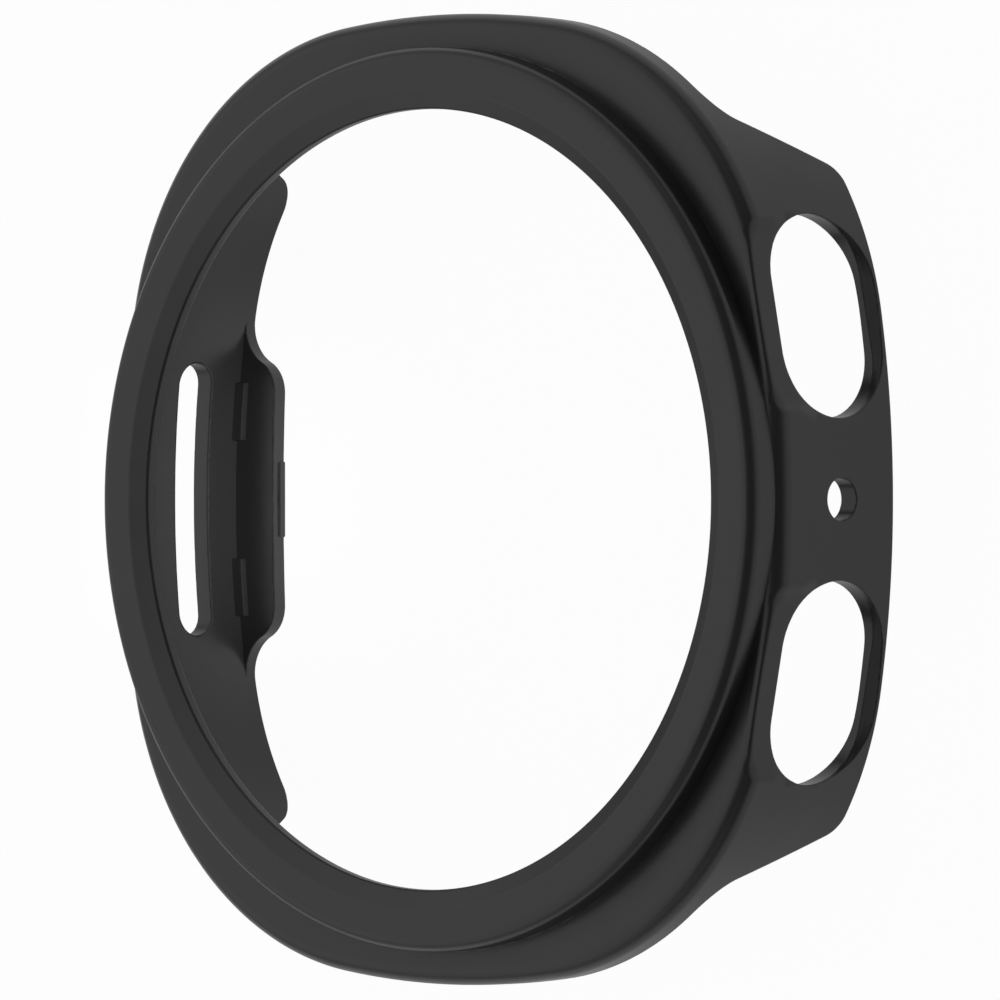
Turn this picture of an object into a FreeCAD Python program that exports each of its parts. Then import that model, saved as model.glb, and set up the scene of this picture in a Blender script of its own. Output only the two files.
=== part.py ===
"""Clip-on protective case for a cushion-shaped smartwatch with a round display.

The real case is one thin hard-plastic moulding.  It is divided here only where it bends: the
front frame carries two side walls, which spread outwards when a watch is pressed in from behind.
+Z points out of the display, +X to the button side (3 o'clock), +Y to 12 o'clock.  The case
stands on the back edges of its walls, in the plane Z = 0.  All lengths are in millimetres.
"""
import FreeCAD, Part
import math
import os

Vector = FreeCAD.Vector

# Overall size
CASE_HALF_WIDTH = 23.0
CASE_HALF_HEIGHT = 24.3
CASE_DEPTH = 10.0
WALL_THICKNESS = 1.05

# Cushion outline, seen from the front: long side and end arcs joined by four corner arcs
SIDE_ARC_RADIUS = 56.3
END_ARC_RADIUS = 54.4
CORNER_ARC_RADIUS = 17.6

# Round front ring, which stands proud of the cushion shoulder and guards the glass
RING_SETBACK = 0.4
RING_WIDTH = 3.1
RING_EDGE_RADIUS = 0.7
LIP_THICKNESS = 1.0
LIP_CHAMFER_WIDTH = 0.95
LIP_CHAMFER_DEPTH = 0.45

# Cushion shoulder and the short skirt that it carries at the strap ends
SHOULDER_DROP = 1.55
SHOULDER_EDGE_RADIUS = 1.0
SKIRT_DROP = 3.55

# Side walls: their ends slant in towards the back, a little earlier on the speaker side
WALL_END_AT_SKIRT = 19.2
WALL_END_SLANT = 2.9
WALL_END_INNER_RADIUS = 2.0
BUTTON_TIP_RADIUS = 1.2
SPEAKER_TIP_RADIUS = 2.0
SPEAKER_END_SETBACK = 0.3

# Two button windows, each in a flat pocket that is open towards the front
WINDOW_RIM_BEHIND = 0.55
WINDOW_RIM_BEFORE = 0.35
WINDOW_LENGTH = 10.0
WINDOW_OFFSET = 9.0
POCKET_DEPTH = 0.6
POCKET_TILT_DEGREES = 11.5
POCKET_SIDE_SLOPE_SHARE = 0.5
POCKET_CREASE_RADIUS = 0.25

# Microphone hole and speaker slot
MICROPHONE_RADIUS = 1.05
SPEAKER_SLOT_WIDTH = 2.3
SPEAKER_SLOT_LENGTH = 14.05
SPEAKER_SLOT_HEIGHT = 3.93

# Hook lip along the back of the speaker wall
HOOK_REACH = 3.02
HOOK_ROOT_THICKNESS = 0.7
HOOK_EDGE_THICKNESS = 0.85
HOOK_EDGE_BOW = 0.17
HOOK_HALF_LENGTH = 6.6
HOOK_FLARE = 1.45
HOOK_OUTER_RADIUS = 1.9
HOOK_INNER_RADIUS = 2.2
HOOK_TAB_HALF_LENGTH = 1.95
HOOK_TAB_REACH = 0.12
HOOK_TAB_THICKNESS = 0.45
HOOK_SINK_SHARE = 0.05

# Two short ribs in the corner between the speaker wall and its hook
RIB_LENGTH = 3.0
RIB_OFFSET = 4.55
RIB_WIDTH = 0.65
RIB_HEIGHT = 0.37

# Small catch behind the bridge between the button windows
CATCH_REACH = 0.6
CATCH_HALF_LENGTH = 3.4
CATCH_THICKNESS = 0.8
CATCH_LEAD_IN = 0.4

# Lines along which the walls bend: the walls part from the frame here
FLEX_GAP = 0.06
FLEX_END_SETBACK = 0.6

# One overrun serves every cut
OVERRUN = 1.0

# Where the ring's round faces close on themselves, turned from the button side
SEAM_TURN_DEGREES = 60.0

# How closely an edge has to match a place to be picked for rounding, as a share of the depth
MATCH_SHARE = 0.0005

SHOULDER_HEIGHT = CASE_DEPTH - SHOULDER_DROP
SKIRT_HEIGHT = CASE_DEPTH - SKIRT_DROP
FLEX_HEIGHT = SHOULDER_HEIGHT - WALL_THICKNESS
FLEX_HALF_LENGTH = WALL_END_AT_SKIRT - FLEX_END_SETBACK
RING_RADIUS = CASE_HALF_WIDTH - RING_SETBACK
DISPLAY_RADIUS = RING_RADIUS - RING_WIDTH
POCKET_RADIUS = RING_RADIUS - WALL_THICKNESS
INNER_HALF_WIDTH = CASE_HALF_WIDTH - WALL_THICKNESS
WINDOW_WIDTH = FLEX_HEIGHT - WINDOW_RIM_BEHIND - WINDOW_RIM_BEFORE
CONTROL_HEIGHT = WINDOW_RIM_BEHIND + WINDOW_WIDTH / 2


def corner_centre():
    """Centre of the corner arc that touches the side arc and the end arc from inside."""
    side_x = CASE_HALF_WIDTH - SIDE_ARC_RADIUS
    end_y = CASE_HALF_HEIGHT - END_ARC_RADIUS
    span = math.hypot(side_x, end_y)
    from_side = SIDE_ARC_RADIUS - CORNER_ARC_RADIUS
    from_end = END_ARC_RADIUS - CORNER_ARC_RADIUS
    along = (from_side ** 2 - from_end ** 2 + span ** 2) / (2 * span)
    across = math.sqrt(from_side ** 2 - along ** 2)
    direction_x = -side_x / span
    direction_y = end_y / span
    return Vector(side_x + along * direction_x - across * direction_y,
                  along * direction_y + across * direction_x, 0)


def cushion_face(inset, height):
    """Face inside the cushion outline, drawn in by the inset, at a height."""
    corner = corner_centre()
    side_centre = Vector(CASE_HALF_WIDTH - SIDE_ARC_RADIUS, 0, 0)
    end_centre = Vector(0, CASE_HALF_HEIGHT - END_ARC_RADIUS, 0)
    to_side = (corner - side_centre).normalize()
    to_end = (corner - end_centre).normalize()
    to_corner = (to_side + to_end).normalize()
    side_joint = side_centre + to_side * (SIDE_ARC_RADIUS - inset)
    end_joint = end_centre + to_end * (END_ARC_RADIUS - inset)
    corner_middle = corner + to_corner * (CORNER_ARC_RADIUS - inset)
    side_middle = CASE_HALF_WIDTH - inset
    end_middle = CASE_HALF_HEIGHT - inset

    def place(point, x_sign, y_sign):
        return Vector(point.x * x_sign, point.y * y_sign, height)

    arcs = []
    for sign in (1, -1):
        side_top = Vector(sign * side_middle, 0, height)
        end_top = Vector(0, sign * end_middle, height)
        arcs.append((place(side_joint, sign, -1), side_top, place(side_joint, sign, 1)))
        arcs.append((place(end_joint, -1, sign), end_top, place(end_joint, 1, sign)))
        for other in (1, -1):
            middle = place(corner_middle, sign, other)
            arcs.append((place(side_joint, sign, other), middle, place(end_joint, sign, other)))
    edges = [Part.Arc(*points).toShape() for points in arcs]
    return Part.Face(Part.Wire(Part.__sortEdges__(edges)))


def cushion_block(inset, bottom, top):
    """Upright block with the cushion outline between two heights."""
    return cushion_face(inset, bottom).extrude(Vector(0, 0, top - bottom))


def edges_where(shape, x=None, y=None, z=None):
    """Edges whose ends all lie at the given coordinates."""
    found = []
    for edge in shape.Edges:
        gaps = []
        for vertex in edge.Vertexes:
            for wanted, actual in ((x, vertex.Point.x), (y, vertex.Point.y), (z, vertex.Point.z)):
                gaps.append(0 if wanted is None else abs(actual - wanted))
        if max(gaps) < MATCH_SHARE * CASE_DEPTH:
            found.append(edge)
    return found


def side_face_x(y, inset):
    """Distance of a side wall's face from the middle plane, where it follows the side arc."""
    return CASE_HALF_WIDTH - SIDE_ARC_RADIUS + math.sqrt((SIDE_ARC_RADIUS - inset) ** 2 - y ** 2)


def prism(points, direction):
    """Solid swept from a closed outline of straight edges."""
    return Part.Face(Part.makePolygon(points + points[:1])).extrude(direction)


def mirrored(shape):
    """The same shape on the 6 o'clock side."""
    return shape.mirror(Vector(), Vector(0, 1, 0))


def ring_solid():
    """Front ring: lip with a shallow chamfer round the display, rounded rim and round pocket wall."""
    lip_bottom = CASE_DEPTH - LIP_THICKNESS
    round_centre = Vector(RING_RADIUS - RING_EDGE_RADIUS, 0, CASE_DEPTH - RING_EDGE_RADIUS)
    arc_reach = RING_EDGE_RADIUS * math.sqrt(0.5)
    points = [
        Vector(RING_RADIUS, 0, CASE_DEPTH - RING_EDGE_RADIUS),
        Vector(RING_RADIUS, 0, FLEX_HEIGHT),
        Vector(POCKET_RADIUS, 0, FLEX_HEIGHT),
        Vector(POCKET_RADIUS, 0, lip_bottom),
        Vector(DISPLAY_RADIUS, 0, lip_bottom),
        Vector(DISPLAY_RADIUS, 0, CASE_DEPTH - LIP_CHAMFER_DEPTH),
        Vector(DISPLAY_RADIUS + LIP_CHAMFER_WIDTH, 0, CASE_DEPTH),
        Vector(RING_RADIUS - RING_EDGE_RADIUS, 0, CASE_DEPTH),
    ]
    rim = Part.Arc(points[-1], round_centre + Vector(arc_reach, 0, arc_reach), points[0])
    edges = [Part.makeLine(start, end) for start, end in zip(points, points[1:])]
    section = Part.Face(Part.Wire(edges + [rim.toShape()]))
    section.rotate(Vector(), Vector(0, 0, 1), SEAM_TURN_DEGREES)
    return section.revolve(Vector(), Vector(0, 0, 1), 360)


def whole_shell():
    """Cushion shell with its ring, open at the back and round the display."""
    cushion = cushion_block(0, 0, SHOULDER_HEIGHT)
    cushion = cushion.makeFillet(SHOULDER_EDGE_RADIUS, edges_where(cushion, z=SHOULDER_HEIGHT))
    cushion = cushion.cut(cushion_block(WALL_THICKNESS, -OVERRUN, FLEX_HEIGHT))
    pocket = Part.makeCylinder(POCKET_RADIUS, CASE_DEPTH + OVERRUN)
    return cushion.cut(pocket).fuse(ring_solid()).removeSplitter()


def strap_end_cutter(side, setback, tip_radius):
    """Space behind the skirt at 12 o'clock that ends one side wall; side is 1 or -1."""
    skirt_y = WALL_END_AT_SKIRT - setback
    back_y = skirt_y - WALL_END_SLANT
    far = CASE_HALF_HEIGHT + OVERRUN
    points = [
        Vector(0, 0, 0),
        Vector(0, back_y, 0),
        Vector(0, skirt_y, SKIRT_HEIGHT),
        Vector(0, far, SKIRT_HEIGHT),
        Vector(0, far, -OVERRUN),
        Vector(0, 0, -OVERRUN),
    ]
    cutter = prism(points, Vector(side * (CASE_HALF_WIDTH + OVERRUN), 0, 0))
    cutter = cutter.makeFillet(tip_radius, edges_where(cutter, y=back_y, z=0))
    return cutter.makeFillet(WALL_END_INNER_RADIUS, edges_where(cutter, y=skirt_y, z=SKIRT_HEIGHT))


def slot_block(length, width, y, z, x_start, x_end):
    """Block with round ends, long in Y, that passes through a wall."""
    straight = (length - width) / 2
    reach = width / 2
    corners = [(straight, -reach), (straight, reach), (-straight, reach), (-straight, -reach)]
    places = [Vector(x_start, y + across, z + up) for across, up in corners]
    far_end = Vector(x_start, y + length / 2, z)
    near_end = Vector(x_start, y - length / 2, z)
    edges = [
        Part.Arc(places[0], far_end, places[1]).toShape(),
        Part.makeLine(places[1], places[2]),
        Part.Arc(places[2], near_end, places[3]).toShape(),
        Part.makeLine(places[3], places[0]),
    ]
    return Part.Face(Part.Wire(edges)).extrude(Vector(x_end - x_start, 0, 0))


def pocket_floor():
    """Middle of the upper pocket's flat floor and the direction that it faces."""
    tilt = math.radians(POCKET_TILT_DEGREES)
    middle = Vector(side_face_x(WINDOW_OFFSET, 0) - POCKET_DEPTH, WINDOW_OFFSET, CONTROL_HEIGHT)
    return middle, Vector(math.cos(tilt), math.sin(tilt), 0)


def pocket_wire(depth_outwards):
    """Outline of the flat pocket round the upper button window, at a distance above its floor."""
    middle, outwards = pocket_floor()
    along = Vector(-outwards.y, outwards.x, 0)
    outset = depth_outwards * POCKET_SIDE_SLOPE_SHARE
    radius = WINDOW_WIDTH / 2 + outset
    straight = (WINDOW_LENGTH - WINDOW_WIDTH) / 2
    side = straight + radius
    bend = radius * math.sqrt(0.5)
    top = CASE_DEPTH - CONTROL_HEIGHT + OVERRUN

    def place(sideways, up):
        return middle + outwards * depth_outwards + along * sideways + Vector(0, 0, up)

    edges = [
        Part.makeLine(place(-side, top), place(-side, 0)),
        Part.Arc(place(-side, 0), place(-straight - bend, -bend), place(-straight, -radius)).toShape(),
        Part.makeLine(place(-straight, -radius), place(straight, -radius)),
        Part.Arc(place(straight, -radius), place(straight + bend, -bend), place(side, 0)).toShape(),
        Part.makeLine(place(side, 0), place(side, top)),
        Part.makeLine(place(side, top), place(-side, top)),
    ]
    return Part.Wire(edges)


def button_window_cutter():
    """One button window with its flat pocket, which runs out over the shoulder."""
    outside = CASE_HALF_WIDTH + OVERRUN
    window = slot_block(WINDOW_LENGTH, WINDOW_WIDTH, WINDOW_OFFSET, CONTROL_HEIGHT, 0, outside)
    pocket = Part.makeLoft([pocket_wire(0), pocket_wire(POCKET_DEPTH + OVERRUN)], True, True)
    return window.fuse(pocket)


def pocket_crease_edges(shape):
    """Edges where the flat pocket floors run out over the shoulder, on both sides."""
    middle, outwards = pocket_floor()
    near = MATCH_SHARE * CASE_DEPTH
    found = []
    for edge in shape.Edges:
        places = [Vector(vertex.Point.x, abs(vertex.Point.y), vertex.Point.z) for vertex in edge.Vertexes]
        if all(abs((place - middle).dot(outwards)) < near and place.z > FLEX_HEIGHT for place in places):
            found.append(edge)
    return found


def microphone_cutter():
    """Round hole between the two button windows."""
    return Part.makeCylinder(MICROPHONE_RADIUS, CASE_HALF_WIDTH + OVERRUN, Vector(0, 0, CONTROL_HEIGHT),
                             Vector(1, 0, 0))


def speaker_slot_cutter():
    """Long slot in front of the speaker."""
    outside = -CASE_HALF_WIDTH - OVERRUN
    return slot_block(SPEAKER_SLOT_LENGTH, SPEAKER_SLOT_WIDTH, 0, SPEAKER_SLOT_HEIGHT, outside, 0)


def hook_solid():
    """Hook lip on the speaker wall, S-shaped at both ends and thicker towards its free edge."""
    free_x = HOOK_REACH - INNER_HALF_WIDTH
    far_x = -CASE_HALF_WIDTH - OVERRUN
    sink = WALL_THICKNESS * HOOK_SINK_SHARE
    root_y = HOOK_HALF_LENGTH + HOOK_FLARE
    tail_y = root_y + HOOK_INNER_RADIUS
    root_x = -side_face_x(root_y, WALL_THICKNESS) - sink
    tail_x = -side_face_x(tail_y, WALL_THICKNESS) - sink
    half = [(free_x, HOOK_HALF_LENGTH), (root_x, root_y), (tail_x, tail_y), (far_x, tail_y)]
    outline = half + [(x, -y) for x, y in reversed(half)]
    points = [Vector(x, y, 0) for x, y in outline]
    free_edge = Part.Arc(points[-1], Vector(free_x - HOOK_EDGE_BOW, 0, 0), points[0])
    plan = Part.Face(Part.Wire(Part.makePolygon(points).Edges + [free_edge.toShape()]))
    plan = plan.extrude(Vector(0, 0, HOOK_EDGE_THICKNESS))
    for sign in (1, -1):
        plan = plan.makeFillet(HOOK_OUTER_RADIUS, edges_where(plan, x=free_x, y=sign * HOOK_HALF_LENGTH))
        plan = plan.makeFillet(HOOK_INNER_RADIUS, edges_where(plan, x=root_x, y=sign * root_y))
    section = prism(
        [
            Vector(far_x, -tail_y, 0),
            Vector(free_x, -tail_y, 0),
            Vector(free_x, -tail_y, HOOK_EDGE_THICKNESS),
            Vector(-INNER_HALF_WIDTH, -tail_y, HOOK_ROOT_THICKNESS),
            Vector(far_x, -tail_y, HOOK_ROOT_THICKNESS),
        ],
        Vector(0, 2 * tail_y, 0),
    )
    tab_x = free_x - HOOK_EDGE_BOW + HOOK_TAB_REACH
    tab = Part.makeBox(HOOK_EDGE_THICKNESS, 2 * HOOK_TAB_HALF_LENGTH, HOOK_TAB_THICKNESS,
                       Vector(tab_x - HOOK_EDGE_THICKNESS, -HOOK_TAB_HALF_LENGTH, 0))
    inside_wall = cushion_block(WALL_THICKNESS / 2, 0, HOOK_EDGE_THICKNESS)
    return plan.common(section).common(inside_wall).fuse(tab)


def wall_strip(reach, bottom, top, y_start, y_end, side):
    """Strip that follows the inner face of a wall; side is 1 at the buttons and -1 at the speaker."""
    outer = cushion_block(WALL_THICKNESS / 2, bottom, top)
    strip = outer.cut(cushion_block(WALL_THICKNESS + reach, bottom - OVERRUN, top + OVERRUN))
    corner_x = 0 if side > 0 else -CASE_HALF_WIDTH
    window = Part.makeBox(CASE_HALF_WIDTH, y_end - y_start, top - bottom, Vector(corner_x, y_start, bottom))
    return strip.common(window)


def rib_solid():
    """Short rib in the corner between the speaker wall and the hook, on the 12 o'clock side."""
    start = RIB_OFFSET - RIB_LENGTH / 2
    return wall_strip(RIB_WIDTH, 0, HOOK_ROOT_THICKNESS + RIB_HEIGHT, start, start + RIB_LENGTH, -1)


def catch_solid():
    """Small catch on the button wall, bevelled where the watch slides in."""
    catch = wall_strip(CATCH_REACH, 0, CATCH_THICKNESS, -CATCH_HALF_LENGTH, CATCH_HALF_LENGTH, 1)
    wide = cushion_face(WALL_THICKNESS + CATCH_REACH - CATCH_LEAD_IN, 0)
    narrow = cushion_face(WALL_THICKNESS + CATCH_REACH, CATCH_LEAD_IN)
    bevel = Part.makeLoft([wide.OuterWire, narrow.OuterWire], True, True)
    return catch.cut(bevel)


def flex_zone(side, clearance):
    """Block that holds one side wall up to the line along which it bends."""
    half_length = FLEX_HALF_LENGTH - clearance
    width = CASE_HALF_WIDTH + OVERRUN
    height = FLEX_HEIGHT - clearance + OVERRUN
    corner_x = 0 if side > 0 else -width
    return Part.makeBox(width, 2 * half_length, height, Vector(corner_x, -half_length, -OVERRUN))


def whole_case():
    """The complete moulding, before it is divided at its bending lines."""
    paired_cutters = [
        strap_end_cutter(1, 0, BUTTON_TIP_RADIUS),
        strap_end_cutter(-1, SPEAKER_END_SETBACK, SPEAKER_TIP_RADIUS),
        button_window_cutter(),
    ]
    cutters = [speaker_slot_cutter(), microphone_cutter()]
    for cutter in paired_cutters:
        cutters += [cutter, mirrored(cutter)]
    case = whole_shell()
    for cutter in cutters:
        case = case.cut(cutter)
    case = case.makeFillet(POCKET_CREASE_RADIUS, pocket_crease_edges(case))
    rib = rib_solid()
    return case.fuse([hook_solid(), rib, mirrored(rib), catch_solid()])


def sub_parts():
    """Front frame and the two side walls that bend."""
    case = whole_case()
    frame = case.cut([flex_zone(1, 0), flex_zone(-1, 0)])
    return {
        "front_frame": frame,
        "button_side_wall": case.common(flex_zone(1, FLEX_GAP)),
        "speaker_side_wall": case.common(flex_zone(-1, FLEX_GAP)),
    }


os.makedirs("parts", exist_ok=True)
for name, shape in sub_parts().items():
    solid = shape.removeSplitter()
    solid.exportStep(f"parts/{name}.step")
    print(name, len(solid.Solids), "solid", solid.isValid(), round(solid.Volume, 2))
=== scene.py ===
"""Looks of the clip-on watch case: one continuous matte moulding with rounded edges.

The surface is a distance field in millimetres, worked out from the same lengths as the part's source and
meshed on a fine grid. The mesh is then divided into three pieces: the front, attached to the frame's
body, and the two side walls.
"""
import math

import bmesh
import bpy
import numpy as np
from mathutils import Matrix, Vector


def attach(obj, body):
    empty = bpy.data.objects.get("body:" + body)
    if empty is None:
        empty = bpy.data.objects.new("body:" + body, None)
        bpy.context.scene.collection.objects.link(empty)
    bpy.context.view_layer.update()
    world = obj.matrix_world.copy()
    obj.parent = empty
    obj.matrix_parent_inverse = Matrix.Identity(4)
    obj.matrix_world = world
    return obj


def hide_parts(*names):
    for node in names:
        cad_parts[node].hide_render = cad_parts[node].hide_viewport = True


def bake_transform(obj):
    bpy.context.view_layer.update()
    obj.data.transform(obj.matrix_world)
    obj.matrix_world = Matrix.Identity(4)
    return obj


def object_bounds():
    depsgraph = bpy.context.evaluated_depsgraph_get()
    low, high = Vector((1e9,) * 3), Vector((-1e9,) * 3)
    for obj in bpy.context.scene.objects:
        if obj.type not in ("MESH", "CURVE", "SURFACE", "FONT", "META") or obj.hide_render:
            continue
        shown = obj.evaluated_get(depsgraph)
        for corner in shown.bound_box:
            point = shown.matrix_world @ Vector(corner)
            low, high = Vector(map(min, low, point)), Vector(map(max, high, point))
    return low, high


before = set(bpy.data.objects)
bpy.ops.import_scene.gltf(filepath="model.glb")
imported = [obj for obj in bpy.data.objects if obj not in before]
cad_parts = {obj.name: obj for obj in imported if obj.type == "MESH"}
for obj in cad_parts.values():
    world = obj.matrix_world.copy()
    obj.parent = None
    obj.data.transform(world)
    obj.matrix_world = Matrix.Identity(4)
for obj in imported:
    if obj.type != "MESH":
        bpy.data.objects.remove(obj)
cad_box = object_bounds()

MM = 0.001

# Outline of the case, seen from the front. All lengths are in millimetres
HALF_WIDTH, HALF_HEIGHT, DEPTH = (round(float(size) / MM, 3) for size in cad_box[1])
WALL = 1.05
SIDE_RADIUS = 56.3
END_RADIUS = 54.4
CORNER_RADIUS = 17.6

# Front ring with its lip, shoulder and skirt
RING_RADIUS = 22.6
DISPLAY_RADIUS = 19.5
POCKET_RADIUS = RING_RADIUS - WALL
LIP = 1.0
CHAMFER_WIDTH = 0.95
CHAMFER_DEPTH = 0.45
SHOULDER_HEIGHT = 8.45
SKIRT_HEIGHT = 6.45
FLEX_HEIGHT = SHOULDER_HEIGHT - WALL

# Ends of the side walls, seen from the side
WALL_END = 19.2
WALL_END_SLANT = 2.9
SPEAKER_SETBACK = 0.3

# Button windows in their flat pockets, and the microphone hole between them
WINDOW_LENGTH = 10.0
WINDOW_WIDTH = 6.5
WINDOW_OFFSET = 9.0
CONTROL_HEIGHT = 3.8
FLOOR_DEPTH = 0.6
FLOOR_TILT = 11.5
FLOOR_COSINE = 0.41
SIDE_SLOPE = 0.5
MICROPHONE_RADIUS = 1.05

# Pockets widen and soften from this height towards the front
SOFT_START = 4.2
SOFT_RISE = 2.4
SOFT_SHIFT = 0.7
SOFT_SLOPE = 2.0
SOFT_EDGE = 1.8
SOFT_REACH = 1.4

# Speaker slot
SLOT_WIDTH = 2.3
SLOT_LENGTH = 14.05
SLOT_HEIGHT = 3.93

# Hook with its tab and ribs on the speaker side, catch on the button side
HOOK_REACH = 3.02
HOOK_ROOT = 0.7
HOOK_EDGE = 0.85
HOOK_BOW = 0.17
HOOK_HALF_LENGTH = 6.6
HOOK_FLARE = 1.45
HOOK_WALL_NORMAL = (0.99, 0.14)
TAB_HALF_LENGTH = 1.95
TAB_REACH = 0.12
TAB_THICKNESS = 0.45
RIB_LENGTH = 3.0
RIB_OFFSET = 4.55
RIB_WIDTH = 0.65
RIB_HEIGHT = 0.37
CATCH_REACH = 0.6
CATCH_HALF_LENGTH = 3.4
CATCH_THICKNESS = 0.8
CATCH_LEAD_IN = 0.4

# Radii of the edges and corners
EDGE = 0.08
FINE_EDGE = 0.07
CREASE = 0.25
CHAMFER_EDGE = 0.3
LIP_EDGE = 0.2
RING_EDGE = 0.7
SHOULDER_EDGE = 1.0
VALLEY = 0.02
VALLEY_COSINE = 0.9
WALL_END_INNER = 2.0
BUTTON_TIP = 1.2
SPEAKER_TIP = 2.0
HOOK_OUTER = 1.9
HOOK_INNER = 2.2

# Grid that the surface is meshed on: the margin keeps its planes off the case's flat faces
CELL = 0.1
MARGIN = 2.37 * CELL
BLOCK = 4
CHUNK = 400000
SLOPE_STEP = 0.004
LEAST_SLOPE = 0.5
TINY = 1e-9

# Finish of the mesh: even spacing, points on the sharp edges, fewer triangles, smooth shading
FIRST_ROUNDS = 3
RELAX_ROUNDS = 2
LAST_ROUNDS = 2
RELAX_SHARE = 0.5
TURN_SHARE = 0.985
PROBE = 0.07
EDGE_WEIGHT = 0.02
TRIANGLES = 90000
SHADE_SHARE = 0.35
SHADE_REACH = 0.15

# Lines where the visual side walls part from the frame
CUT_HEIGHT = 7.25
CUT_HALF_LENGTH = 21.0
CUT_SNAP = 1e-8
CUT_REACH = 1e-7

# Matte black plastic: colour, grain and handling marks
PLASTIC_IOR = 1.585
NOISE_SPAN = (0.3, 0.7)
TINT_SCALE = 160
TINT_DETAIL = 4
TINTS = ((0.0165, 0.0165, 0.0172, 1), (0.0195, 0.0195, 0.0205, 1))
GRAIN_SCALE = 9000
GRAIN_DETAIL = 2
GRAIN_STRENGTH = 0.08
GRAIN_HEIGHT = 0.00002
WEAR_SCALE = 420
WEAR_DETAIL = 5
ROUGHNESS = (0.28, 0.34)

# Place that the photograph was taken from, in degrees, metres and millimetres of lens
VIEW_TURN = 43.54
VIEW_DISTANCE = 0.5673
VIEW_SHIFT = 0.00075
VIEW_DROP = 0.00003
MIDDLE_HEIGHT = 0.005
LENS = 406.5
SENSOR = 36
CLIP = (0.01, 20)

# Floor: half its length in metres, its grey, how much of it glows and how brightly, seen or reflected
FLOOR_REACH = 3.0
FLOOR_GREY = 0.86
FLOOR_GLOW_SHARE = 0.97
FLOOR_GLOW = (0.6, 1)

# Studio light: brightness of the surroundings and of the dark gap in front, as seen by the case
LIGHT_LEVEL = 0.68
GAP_LEVEL = 0.12
GAP_SIDE = 0.46
GAP_FADE = 0.13
GAP_FRONT = 0.3
GAP_TOP = 0.5
GAP_TOP_SHARE = 0.4
HORIZON_TOP = 0.5
HORIZON_SHARE = 0.25

# Spot lamp on the corner between the speaker wall and its hook, in degrees, metres and watts
SPOT_TURN = 67
SPOT_DISTANCE = 0.5
SPOT_REACH = 0.0125
SPOT_FLATNESS = 0.5
SPOT_SIZE = 0.003
SPOT_WATTS = 17.0


def both(a, b, radius=0.0, cosine=0.0):
    """Space inside both a and b, its edge rounded; cosine is that of the two faces' normals."""
    a = a + radius
    b = b + radius
    share = 1.0 / (1.0 - cosine * cosine)
    along_a = (a - cosine * b) * share
    along_b = (b - cosine * a) * share
    corner = np.sqrt(np.maximum(along_a ** 2 + along_b ** 2 + 2 * cosine * along_a * along_b, 0))
    return np.where((along_a > 0) & (along_b > 0), corner, np.maximum(a, b)) - radius


def either(a, b, radius=0.0, cosine=0.0):
    """Space inside a or b, the corner between them filled out."""
    return -both(-a, -b, radius, cosine)


def eased(share):
    """Smooth step from 0 to 1."""
    share = np.clip(share, 0, 1)
    return share * share * (3 - 2 * share)


def stadium(u, v, length, width):
    """Distance from a slot with round ends, long in u."""
    return np.hypot(np.maximum(abs(u) - (length - width) / 2, 0), v) - width / 2


def cushion(x, y):
    """Distance from the cushion outline, negative inside."""
    side_x = HALF_WIDTH - SIDE_RADIUS
    end_y = HALF_HEIGHT - END_RADIUS
    span = math.hypot(side_x, end_y)
    from_side = SIDE_RADIUS - CORNER_RADIUS
    from_end = END_RADIUS - CORNER_RADIUS
    along = (from_side ** 2 - from_end ** 2 + span ** 2) / (2 * span)
    across = math.sqrt(from_side ** 2 - along ** 2)
    step_x, step_y = -side_x / span, end_y / span
    corner_x = side_x + along * step_x - across * step_y
    corner_y = along * step_y + across * step_x
    x, y = abs(x), abs(y)
    by_side = (corner_x - side_x) * y - corner_y * (x - side_x) < 0
    by_end = corner_x * (y - end_y) - (corner_y - end_y) * x > 0
    side = np.hypot(x - side_x, y) - SIDE_RADIUS
    end = np.hypot(x, y - end_y) - END_RADIUS
    corner = np.hypot(x - corner_x, y - corner_y) - CORNER_RADIUS
    return np.where(by_side, side, np.where(by_end, end, corner))


def hook_and_ribs(x, y, z, outline):
    """Hook, tab and ribs inside the speaker wall."""
    far = abs(y)
    free_x = HOOK_REACH - (HALF_WIDTH - WALL)
    edge = x - (free_x - HOOK_BOW + HOOK_BOW * (y / HOOK_HALF_LENGTH) ** 2)
    run = math.hypot(HOOK_REACH, HOOK_FLARE)
    slant_x, slant_y = HOOK_FLARE / run, HOOK_REACH / run
    slant = (x - free_x) * slant_x + (far - HOOK_HALF_LENGTH) * slant_y
    plan = both(edge, slant, HOOK_OUTER, slant_x)
    wall_x, wall_y = HOOK_WALL_NORMAL
    plan = either(plan, -(outline + WALL), HOOK_INNER, slant_x * wall_x - slant_y * wall_y)
    top = z - HOOK_ROOT - (HOOK_EDGE - HOOK_ROOT) * (x + HALF_WIDTH - WALL) / HOOK_REACH
    hook = np.maximum(both(plan, top, FINE_EDGE), far - (HOOK_HALF_LENGTH + 2 * HOOK_INNER))
    tab_x = free_x - HOOK_BOW + TAB_REACH
    tab = both(both(x - tab_x, far - TAB_HALF_LENGTH, FINE_EDGE), z - TAB_THICKNESS, FINE_EDGE)
    rib = both(-(outline + WALL + RIB_WIDTH), z - HOOK_ROOT - RIB_HEIGHT, FINE_EDGE)
    rib = both(rib, abs(far - RIB_OFFSET) - RIB_LENGTH / 2, FINE_EDGE)
    return np.minimum(np.minimum(hook, tab), rib)


def catch(y, z, outline):
    """Catch with its lead-in bevel, inside the button wall."""
    reach = -(outline + WALL + CATCH_REACH)
    bevel = (reach + CATCH_LEAD_IN - z) * math.sqrt(0.5)
    profile = np.maximum(both(reach, z - CATCH_THICKNESS, FINE_EDGE), bevel)
    return both(profile, abs(y) - CATCH_HALF_LENGTH, FINE_EDGE)


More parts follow.
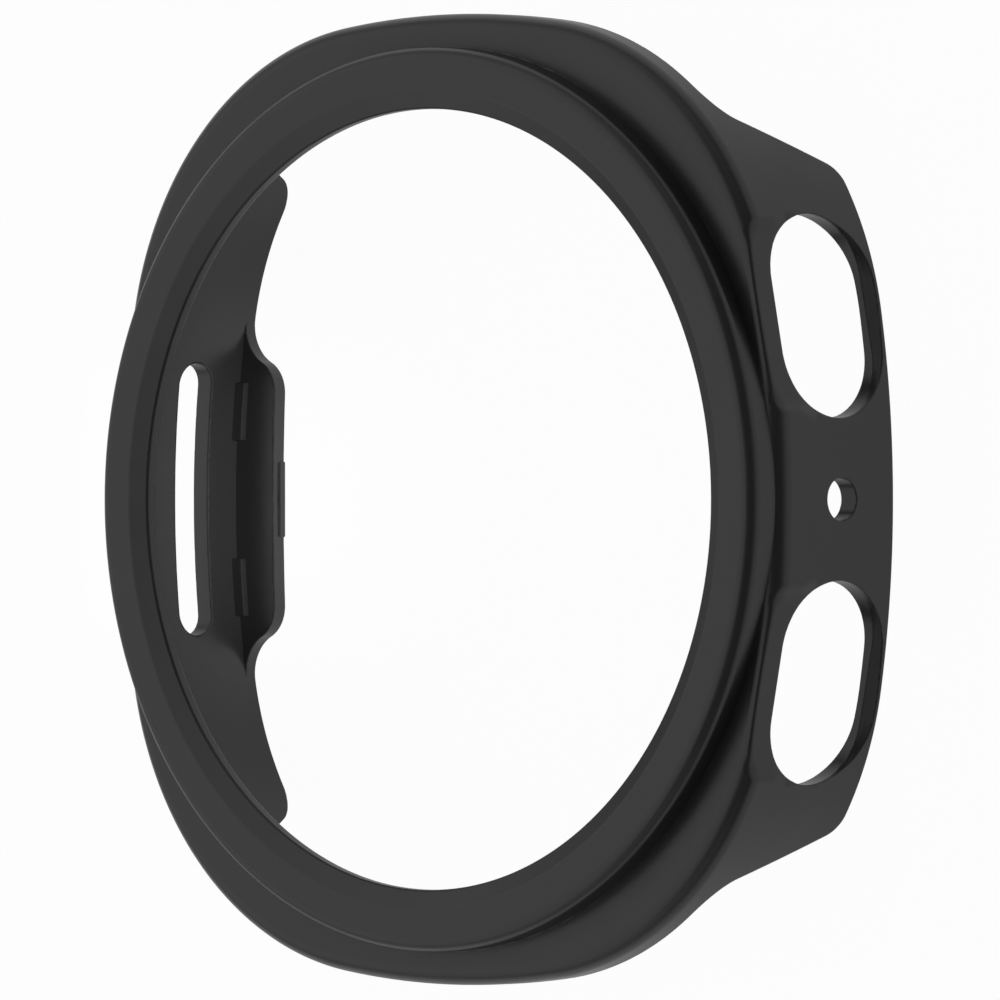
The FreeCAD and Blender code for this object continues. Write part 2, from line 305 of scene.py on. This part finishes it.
def wall_ends(x, y, z):
    """Space that the side walls and the skirt may fill, seen from the side."""
    far = abs(y)
    skirt_y = np.where(x > 0, WALL_END, WALL_END - SPEAKER_SETBACK)
    tip = np.where(x > 0, BUTTON_TIP, SPEAKER_TIP)
    run = math.hypot(SKIRT_HEIGHT, WALL_END_SLANT)
    end = ((far - skirt_y) * SKIRT_HEIGHT - (z - SKIRT_HEIGHT) * WALL_END_SLANT) / run
    cosine = WALL_END_SLANT / run
    return either(SKIRT_HEIGHT - z, both(end, -z, tip, cosine), WALL_END_INNER, cosine)


def button_openings(solid, x, y, z):
    """The solid with the windows, their flat pockets and the microphone hole cut out."""
    far = abs(y)
    tilt = math.radians(FLOOR_TILT)
    out_x, out_y = math.cos(tilt), math.sin(tilt)
    reach = math.sqrt(SIDE_RADIUS ** 2 - WINDOW_OFFSET ** 2)
    middle_x = HALF_WIDTH - SIDE_RADIUS + reach - FLOOR_DEPTH
    above = (x - middle_x) * out_x + (far - WINDOW_OFFSET) * out_y
    along = (far - WINDOW_OFFSET) * out_x - (x - middle_x) * out_y
    past = np.maximum(abs(along) - (WINDOW_LENGTH - WINDOW_WIDTH) / 2, 0)
    ahead = eased((z - SOFT_START) / SOFT_RISE)
    reach = np.hypot(past, np.minimum(z - CONTROL_HEIGHT, 0)) - WINDOW_WIDTH / 2
    reach = reach + SOFT_SHIFT * ahead
    slope = SIDE_SLOPE + (SOFT_SLOPE - SIDE_SLOPE) * ahead
    run = np.hypot(1, slope)
    beside = (reach - slope * above) / run
    kept = either(above, -beside, CREASE + (SOFT_EDGE - CREASE) * ahead, slope / run)
    at_end = ahead * eased((past - WINDOW_WIDTH / 2 + SOFT_REACH) / SOFT_REACH)
    rounding = EDGE + (CREASE - EDGE) * ahead + (SOFT_EDGE - CREASE) * at_end
    cosine = FLOOR_COSINE + (slope / run - FLOOR_COSINE) * np.maximum(at_end, 1 - ahead)
    window = stadium(far - WINDOW_OFFSET, z - CONTROL_HEIGHT, WINDOW_LENGTH, WINDOW_WIDTH)
    microphone = MICROPHONE_RADIUS - np.hypot(y, z - CONTROL_HEIGHT)
    solid = both(both(solid, kept, rounding, cosine), -window, EDGE)
    return both(solid, microphone, FINE_EDGE)


def case_distance(x, y, z):
    """Distance from the case's surface, negative in the plastic."""
    radius = np.hypot(x, y)
    outline = cushion(x, y)
    block = both(outline, z - SHOULDER_HEIGHT, SHOULDER_EDGE)
    ring = both(radius - RING_RADIUS, z - DEPTH, RING_EDGE)
    inside_ring = RING_RADIUS + SHOULDER_EDGE - (radius - outline)
    outer = either(block, ring, VALLEY, np.clip(inside_ring / SHOULDER_EDGE, 0, VALLEY_COSINE))
    cavity = both(outline + WALL, z - FLEX_HEIGHT, CREASE)
    inner = np.where(x < 0, hook_and_ribs(x, y, z, outline), catch(y, z, outline))
    cavity = np.maximum(cavity, -inner)
    pocket = both(radius - POCKET_RADIUS, z - (DEPTH - LIP), CREASE)
    pocket = np.maximum(pocket, SHOULDER_HEIGHT - 2 * WALL - z)
    slope = math.hypot(CHAMFER_WIDTH, CHAMFER_DEPTH)
    from_bore = (radius - DISPLAY_RADIUS) * CHAMFER_DEPTH
    chamfer = ((z - (DEPTH - CHAMFER_DEPTH)) * CHAMFER_WIDTH - from_bore) / slope
    lip = both(DISPLAY_RADIUS - radius, chamfer, LIP_EDGE, CHAMFER_DEPTH / slope)
    lip = np.minimum(lip, z - (DEPTH - 2 * LIP))
    outer = both(outer, lip, CHAMFER_EDGE, CHAMFER_WIDTH / slope)
    solid = both(outer, -cavity, EDGE)
    solid = both(solid, -pocket, FINE_EDGE)
    solid = both(solid, wall_ends(x, y, z), EDGE)
    slot = -stadium(y, z - SLOT_HEIGHT, SLOT_LENGTH, SLOT_WIDTH)
    solid = np.where(x > 0, button_openings(solid, x, y, z), both(solid, slot, EDGE))
    return both(solid, -z, EDGE)


def slope_of(points):
    """Direction in which the distance grows, at points on the surface."""
    slopes = np.empty_like(points)
    for axis in range(3):
        shift = np.zeros(3)
        shift[axis] = SLOPE_STEP
        ahead = case_distance(*(points + shift).T)
        behind = case_distance(*(points - shift).T)
        slopes[:, axis] = (ahead - behind) / (2 * SLOPE_STEP)
    return slopes


def onto_surface(points, rounds):
    """Points moved along the slope until they lie on the surface."""
    for _ in range(rounds):
        slopes = slope_of(points)
        size = np.maximum((slopes ** 2).sum(1), LEAST_SLOPE ** 2)
        move = case_distance(*points.T) / size
        points = points - slopes * np.clip(move, -CELL / 2, CELL / 2)[:, None]
    return points


def spread(coarse, counts):
    """One value for each block of grid points, repeated for all the points in it."""
    for axis in range(3):
        coarse = coarse.repeat(BLOCK, axis)
    return coarse[:counts[0], :counts[1], :counts[2]].copy()


def grid_distances(low, counts):
    """Distance at each point of the grid: exact near the surface, one value for a block elsewhere."""
    blocks = -(-counts // BLOCK)
    middles = [low[axis] + CELL * BLOCK * (np.arange(blocks[axis]) + 0.5) for axis in range(3)]
    coarse = case_distance(*np.meshgrid(*middles, indexing="ij"))
    near = abs(coarse) < CELL * (BLOCK * math.sqrt(0.75) + 1)
    values = spread(coarse.astype(np.float32), counts)
    places = np.nonzero(spread(near, counts))
    for first in range(0, len(places[0]), CHUNK):
        chunk = tuple(place[first:first + CHUNK] for place in places)
        values[chunk] = case_distance(*(low[axis] + CELL * chunk[axis] for axis in range(3)))
    return values


def crossings(values, axis):
    """Grid edges along an axis that the surface crosses: first points, and values at both ends."""
    start = [slice(None)] * 3
    end = [slice(None)] * 3
    start[axis] = slice(None, -1)
    end[axis] = slice(1, None)
    first, last = values[tuple(start)], values[tuple(end)]
    crossing = np.argwhere((first < 0) != (last < 0))
    keep = np.ones(len(crossing), bool)
    for other in range(3):
        if other != axis:
            inner = crossing[:, other] < values.shape[other] - 1
            keep &= (crossing[:, other] > 0) & inner
    crossing = crossing[keep]
    return crossing, first[tuple(crossing.T)], last[tuple(crossing.T)]


def surface_net():
    """Quads round the case: one point in each grid cell that the surface passes through."""
    low = np.array([-HALF_WIDTH, -HALF_HEIGHT, 0.0]) - MARGIN
    high = np.array([HALF_WIDTH, HALF_HEIGHT, DEPTH]) + MARGIN
    counts = np.ceil((high - low) / CELL).astype(int) + 1
    values = grid_distances(low, counts)
    cells = np.zeros(counts - 1, np.int8)
    sums = np.zeros(tuple(counts - 1) + (3,), np.float32)
    quads = []
    for axis in range(3):
        crossing, a, b = crossings(values, axis)
        place = crossing.astype(np.float32)
        place[:, axis] += a / (a - b)
        corners = []
        for shift_a, shift_b in ((1, 1), (0, 1), (0, 0), (1, 0)):
            cell = crossing.copy()
            cell[:, (axis + 1) % 3] -= shift_a
            cell[:, (axis + 2) % 3] -= shift_b
            np.add.at(cells, tuple(cell.T), 1)
            np.add.at(sums, tuple(cell.T), place)
            corners.append(cell)
        corners = np.stack(corners, 1)
        flipped = a > b
        corners[flipped] = corners[flipped][:, ::-1]
        quads.append(corners)
    used = cells > 0
    number = np.full(cells.shape, -1, np.int64)
    number[used] = np.arange(used.sum())
    points = low + CELL * (sums[used] / cells[used][:, None])
    faces = number[tuple(np.concatenate(quads).reshape(-1, 3).T)].reshape(-1, 4)
    return points.astype(float), faces


def relax(points, faces, rounds):
    """Points spread evenly over the surface, each towards the middle of its neighbours."""
    for _ in range(rounds):
        total = np.zeros_like(points)
        count = np.zeros(len(points))
        for corner in range(4):
            here, there = faces[:, corner], faces[:, (corner + 1) % 4]
            np.add.at(total, here, points[there])
            np.add.at(total, there, points[here])
            np.add.at(count, here, 1)
            np.add.at(count, there, 1)
        move = total / count[:, None] - points
        points = onto_surface(points + RELAX_SHARE * move, 1)
    return points


def near_edges(points, faces):
    """Which points lie where the surface turns sharply."""
    across = points[faces[:, 2]] - points[faces[:, 0]]
    down = points[faces[:, 3]] - points[faces[:, 1]]
    normals = np.cross(across, down)
    normals /= np.maximum(np.linalg.norm(normals, axis=1), TINY)[:, None]
    total = np.zeros_like(points)
    count = np.zeros(len(points))
    for corner in range(4):
        np.add.at(total, faces[:, corner], normals)
        np.add.at(count, faces[:, corner], 1)
    return np.linalg.norm(total, axis=1) < TURN_SHARE * count


def onto_edges(points):
    """Points moved to where the flat faces round them meet."""
    products = np.tile(EDGE_WEIGHT * np.eye(3), (len(points), 1, 1))
    aim = np.zeros_like(points)
    for axis in range(3):
        for sign in (-1, 1):
            probe = points.copy()
            probe[:, axis] += sign * PROBE
            normals = slope_of(probe)
            size = np.maximum(np.linalg.norm(normals, axis=1), LEAST_SLOPE)
            normals /= size[:, None]
            level = ((probe - points) * normals).sum(1) - case_distance(*probe.T) / size
            products += normals[:, :, None] * normals[:, None, :]
            aim += normals * level[:, None]
    move = np.linalg.solve(products, aim[:, :, None])[:, :, 0]
    length = np.maximum(np.linalg.norm(move, axis=1), TINY)
    return points + move * np.minimum(1, PROBE / length)[:, None]


def new_mesh(name, points, faces):
    """Mesh data in metres from points in millimetres."""
    mesh = bpy.data.meshes.new(name)
    mesh.from_pydata((points * MM).tolist(), [], faces.tolist())
    mesh.update()
    return mesh


def mesh_points(mesh):
    """Points of a mesh, in millimetres."""
    points = np.empty(len(mesh.vertices) * 3)
    mesh.vertices.foreach_get("co", points)
    return points.reshape(-1, 3) / MM


def mesh_triangles(mesh):
    """Triangles of a mesh, as numbers of its points."""
    mesh.calc_loop_triangles()
    triangles = np.empty(len(mesh.loop_triangles) * 3, np.int64)
    mesh.loop_triangles.foreach_get("vertices", triangles)
    return triangles.reshape(-1, 3)


def thinned(points, faces):
    """The same surface with fewer triangles where it is flat."""
    carrier = bpy.data.objects.new("carrier", new_mesh("carrier", points, faces))
    bpy.context.scene.collection.objects.link(carrier)
    decimate = carrier.modifiers.new("thin", "DECIMATE")
    decimate.ratio = TRIANGLES / (2 * len(faces))
    graph = bpy.context.evaluated_depsgraph_get()
    mesh = bpy.data.meshes.new_from_object(carrier.evaluated_get(graph))
    points, faces = mesh_points(mesh), mesh_triangles(mesh)
    bpy.data.objects.remove(carrier)
    bpy.data.meshes.remove(mesh)
    return points, faces


def cut_at_bends(points, faces):
    """The surface with edges along the lines where the side walls part from the frame.

    The two upright planes cut only what lies below the level one.
    """
    mesh = new_mesh("uncut", points, faces)
    work = bmesh.new()
    work.from_mesh(mesh)
    level = CUT_HEIGHT * MM
    planes = [((0, 0, level), (0, 0, 1))]
    planes += [((0, sign * CUT_HALF_LENGTH * MM, 0), (0, 1, 0)) for sign in (1, -1)]
    for at, towards in planes:
        chosen = [face for face in work.faces
                  if towards[2] or face.calc_center_median().z < level]
        geometry = chosen + list({edge for face in chosen for edge in face.edges})
        geometry += list({vertex for face in chosen for vertex in face.verts})
        bmesh.ops.bisect_plane(work, geom=geometry, dist=CUT_SNAP, plane_co=at, plane_no=towards)
    bmesh.ops.triangulate(work, faces=work.faces)
    work.to_mesh(mesh)
    work.free()
    points, faces = mesh_points(mesh), mesh_triangles(mesh)
    bpy.data.meshes.remove(mesh)
    return points, faces


def close_cuts(mesh):
    """Flat faces over the open ends that the cuts leave, so that each piece is a closed solid."""
    work = bmesh.new()
    work.from_mesh(mesh)
    level = {vertex for vertex in work.verts
             if abs(vertex.co.z - CUT_HEIGHT * MM) < CUT_REACH}
    upright = {vertex for vertex in work.verts
               if abs(abs(vertex.co.y) - CUT_HALF_LENGTH * MM) < CUT_REACH}
    rim = [edge for edge in work.edges if edge.is_boundary]
    corners = {}
    for vertex in {vertex for edge in rim for vertex in edge.verts} & level & upright:
        corners.setdefault((vertex.co.x > 0, vertex.co.y > 0), []).append(vertex)
    rim += [work.edges.new(pair) for pair in corners.values()]
    ends = [(level, x_sign, 0) for x_sign in (1, -1)]
    ends += [(upright, x_sign, y_sign) for x_sign in (1, -1) for y_sign in (1, -1)]
    for plane, x_sign, y_sign in ends:
        loop = [edge for edge in rim if all(
            vertex in plane and vertex.co.x * x_sign > 0 and vertex.co.y * y_sign >= 0
            for vertex in edge.verts)]
        if loop:
            made = bmesh.ops.triangle_fill(work, edges=loop, use_beauty=True)
            for face in made["geom"]:
                if isinstance(face, bmesh.types.BMFace):
                    face.smooth = False
    bmesh.ops.recalc_face_normals(work, faces=work.faces)
    open_edges = sum(edge.is_boundary or not edge.is_manifold for edge in work.edges)
    work.to_mesh(mesh)
    work.free()
    print(mesh.name, "triangles", len(mesh.polygons), "open edges", open_edges)


def skin(name, points, faces, material):
    """One piece of the moulding, shaded by the surface's own slopes so that no seam shows."""
    used, numbers = np.unique(faces, return_inverse=True)
    mesh = new_mesh(name, points[used], numbers.reshape(-1, 3))
    mesh.shade_smooth()
    close_cuts(mesh)
    corners = np.empty(len(mesh.loops), np.int64)
    mesh.loops.foreach_get("vertex_index", corners)
    places = mesh_points(mesh)[corners].reshape(-1, 3, 3)
    inwards = places.mean(1)[:, None, :] - places
    reach = np.maximum(np.linalg.norm(inwards, axis=2), TINY)[:, :, None]
    places = places + inwards * np.minimum(SHADE_SHARE, SHADE_REACH / reach)
    normals = slope_of(places.reshape(-1, 3))
    normals /= np.maximum(np.linalg.norm(normals, axis=1), TINY)[:, None]
    for face in mesh.polygons:
        if not face.use_smooth:
            normals[face.loop_start:face.loop_start + face.loop_total] = face.normal
    mesh.normals_split_custom_set(normals.tolist())
    mesh.materials.append(material)
    piece = bpy.data.objects.new(name, mesh)
    bpy.context.scene.collection.objects.link(piece)
    return piece


def map_range(tree, source, span, values, interpolation="LINEAR"):
    """Output of a Map Range node from one span of numbers to another."""
    step = tree.nodes.new("ShaderNodeMapRange")
    step.interpolation_type = interpolation
    for name, value in zip(("From Min", "From Max", "To Min", "To Max"), (*span, *values)):
        step.inputs[name].default_value = value
    tree.links.new(source, step.inputs["Value"])
    return step.outputs["Result"]


def calculated(tree, operation, *sources):
    """Output of a Math node on one or two sockets."""
    step = tree.nodes.new("ShaderNodeMath")
    step.operation = operation
    for number, source in enumerate(sources):
        tree.links.new(source, step.inputs[number])
    return step.outputs["Value"]


def black_plastic():
    """Matte black hard plastic with a fine moulded grain and faint handling marks."""
    material = bpy.data.materials.new("black_plastic")
    material.use_nodes = True
    tree = material.node_tree
    shader = tree.nodes["Principled BSDF"]
    shader.inputs["IOR"].default_value = PLASTIC_IOR
    where = tree.nodes.new("ShaderNodeTexCoord")

    def noise(scale, detail):
        texture = tree.nodes.new("ShaderNodeTexNoise")
        texture.inputs["Scale"].default_value = scale
        texture.inputs["Detail"].default_value = detail
        tree.links.new(where.outputs["Object"], texture.inputs["Vector"])
        return texture.outputs["Fac"]

    colour = tree.nodes.new("ShaderNodeValToRGB")
    for number in range(2):
        colour.color_ramp.elements[number].position = NOISE_SPAN[number]
        colour.color_ramp.elements[number].color = TINTS[number]
    tree.links.new(noise(TINT_SCALE, TINT_DETAIL), colour.inputs["Fac"])
    tree.links.new(colour.outputs["Color"], shader.inputs["Base Color"])
    bump = tree.nodes.new("ShaderNodeBump")
    bump.inputs["Strength"].default_value = GRAIN_STRENGTH
    bump.inputs["Distance"].default_value = GRAIN_HEIGHT
    tree.links.new(noise(GRAIN_SCALE, GRAIN_DETAIL), bump.inputs["Height"])
    tree.links.new(bump.outputs["Normal"], shader.inputs["Normal"])
    gloss = map_range(tree, noise(WEAR_SCALE, WEAR_DETAIL), NOISE_SPAN, ROUGHNESS)
    tree.links.new(gloss, shader.inputs["Roughness"])
    return material


def build_case():
    """The moulding, divided between the frame and the two side walls."""
    points, faces = surface_net()
    points = relax(onto_surface(points, FIRST_ROUNDS), faces, RELAX_ROUNDS)
    rough = near_edges(points, faces)
    points[rough] = onto_edges(points[rough])
    points, faces = thinned(points, faces)
    points, faces = cut_at_bends(onto_surface(points, LAST_ROUNDS), faces)
    middle = points[faces].mean(1)
    bends = (middle[:, 2] < CUT_HEIGHT) & (abs(middle[:, 1]) < CUT_HALF_LENGTH)
    material = black_plastic()
    front = skin("case_front", points, faces[~bends], material)
    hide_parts("front_frame")
    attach(front, "frame")
    for body, sign in (("button_side", 1), ("speaker_side", -1)):
        chosen = bends & (middle[:, 0] * sign > 0)
        wall = skin("case_" + body, points, faces[chosen], material)
        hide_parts(body + "_wall")
        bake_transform(wall)


def view_directions():
    """Right, up and towards the camera, as the photograph is framed."""
    turn = math.radians(VIEW_TURN)
    right = Vector((math.cos(turn), 0, -math.sin(turn)))
    towards = Vector((math.sin(turn), 0, math.cos(turn)))
    return right, Vector((0, 1, 0)), towards


def add_camera():
    """Camera at the photograph's angle."""
    right, up, towards = view_directions()
    data = bpy.data.cameras.new("camera")
    data.sensor_width = SENSOR
    data.lens = LENS
    data.clip_start, data.clip_end = CLIP
    camera = bpy.data.objects.new("camera", data)
    bpy.context.scene.collection.objects.link(camera)
    place = Vector((0, 0, MIDDLE_HEIGHT)) + right * VIEW_SHIFT - up * VIEW_DROP
    place += towards * VIEW_DISTANCE
    turn = Matrix((right, up, towards)).transposed().to_4x4()
    camera.matrix_world = Matrix.Translation(place) @ turn
    bpy.context.scene.camera = camera


def pale_floor():
    """Material that looks white to the camera and in reflections, and keeps a faint shadow."""
    material = bpy.data.materials.new("floor")
    material.use_nodes = True
    tree = material.node_tree
    shader = tree.nodes["Principled BSDF"]
    shader.inputs["Base Color"].default_value = (FLOOR_GREY, FLOOR_GREY, FLOOR_GREY, 1)
    shader.inputs["Roughness"].default_value = 1
    shader.inputs["Specular IOR Level"].default_value = 0
    rays = tree.nodes.new("ShaderNodeLightPath")
    by_camera, by_gloss = rays.outputs["Is Camera Ray"], rays.outputs["Is Glossy Ray"]
    glow = tree.nodes.new("ShaderNodeEmission")
    tree.links.new(map_range(tree, by_camera, (0, 1), FLOOR_GLOW), glow.inputs["Strength"])
    seen = calculated(tree, "MAXIMUM", by_camera, by_gloss)
    mix = tree.nodes.new("ShaderNodeMixShader")
    share = map_range(tree, seen, (0, 1), (0, FLOOR_GLOW_SHARE))
    tree.links.new(share, mix.inputs["Fac"])
    tree.links.new(shader.outputs["BSDF"], mix.inputs[1])
    tree.links.new(glow.outputs["Emission"], mix.inputs[2])
    tree.links.new(mix.outputs["Shader"], tree.nodes["Material Output"].inputs["Surface"])
    return material


def add_floor():
    """Plain pale floor under the case."""
    mesh = bpy.data.meshes.new("floor")
    signs = ((-1, -1), (1, -1), (1, 1), (-1, 1))
    corners = [(x * FLOOR_REACH, y * FLOOR_REACH, 0) for x, y in signs]
    mesh.from_pydata(corners, [], [(0, 1, 2, 3)])
    mesh.materials.append(pale_floor())
    floor = bpy.data.objects.new("floor", mesh)
    bpy.context.scene.collection.objects.link(floor)


def add_spot():
    """Soft spot lamp that lightens the corner between the speaker wall and its hook."""
    data = bpy.data.lights.new("corner_spot", "SPOT")
    data.energy = SPOT_WATTS
    data.spot_size = 2 * math.atan(SPOT_REACH / SPOT_DISTANCE)
    data.spot_blend = 1
    data.shadow_soft_size = SPOT_SIZE
    lamp = bpy.data.objects.new("corner_spot", data)
    bpy.context.scene.collection.objects.link(lamp)
    turn = math.radians(SPOT_TURN)
    direction = Vector((math.sin(turn), 0, math.cos(turn)))
    corner = Vector((HOOK_REACH / 2 - HALF_WIDTH, 0, WALL)) * MM
    lamp.location = corner + direction * SPOT_DISTANCE
    lamp.rotation_euler = direction.to_track_quat("Z", "Y").to_euler()
    lamp.scale = (1, SPOT_FLATNESS, 1)
    lamp.visible_glossy = False


def add_surroundings():
    """Even studio light, with the dark gap that the photographer stands in, and a dim horizon."""
    world = bpy.data.worlds.new("studio")
    bpy.context.scene.world = world
    world.use_nodes = True
    tree = world.node_tree
    background = tree.nodes["Background"]
    background.inputs["Strength"].default_value = 1
    where = tree.nodes.new("ShaderNodeTexCoord")
    parts = tree.nodes.new("ShaderNodeSeparateXYZ")
    tree.links.new(where.outputs["Generated"], parts.inputs["Vector"])

    def along(direction):
        share = tree.nodes.new("ShaderNodeVectorMath")
        share.operation = "DOT_PRODUCT"
        share.inputs[1].default_value = direction
        tree.links.new(where.outputs["Generated"], share.inputs[0])
        return share.outputs["Value"]

    def ramp(source, span, values):
        return map_range(tree, source, span, values, "SMOOTHSTEP")

    right, up, towards = view_directions()
    off_side = calculated(tree, "ABSOLUTE", along(right))
    off_level = calculated(tree, "ABSOLUTE", along(up))
    beside = ramp(off_side, (GAP_SIDE, GAP_SIDE + GAP_FADE), (1, 0))
    ahead = ramp(along(towards), (0, GAP_FRONT), (0, 1))
    below = ramp(off_level, (GAP_TOP, 1), (1, GAP_TOP_SHARE))
    gap = calculated(tree, "MULTIPLY", calculated(tree, "MULTIPLY", beside, ahead), below)
    light = ramp(gap, (0, 1), (LIGHT_LEVEL, GAP_LEVEL))
    horizon = ramp(parts.outputs["Z"], (0, HORIZON_TOP), (HORIZON_SHARE, 1))
    level = calculated(tree, "MULTIPLY", light, horizon)
    tree.links.new(level, background.inputs["Color"])


def main():
    """Build everything."""
    build_case()
    add_camera()
    add_floor()
    add_surroundings()
    add_spot()
    view = bpy.context.scene.view_settings
    view.view_transform = "Standard"


main()
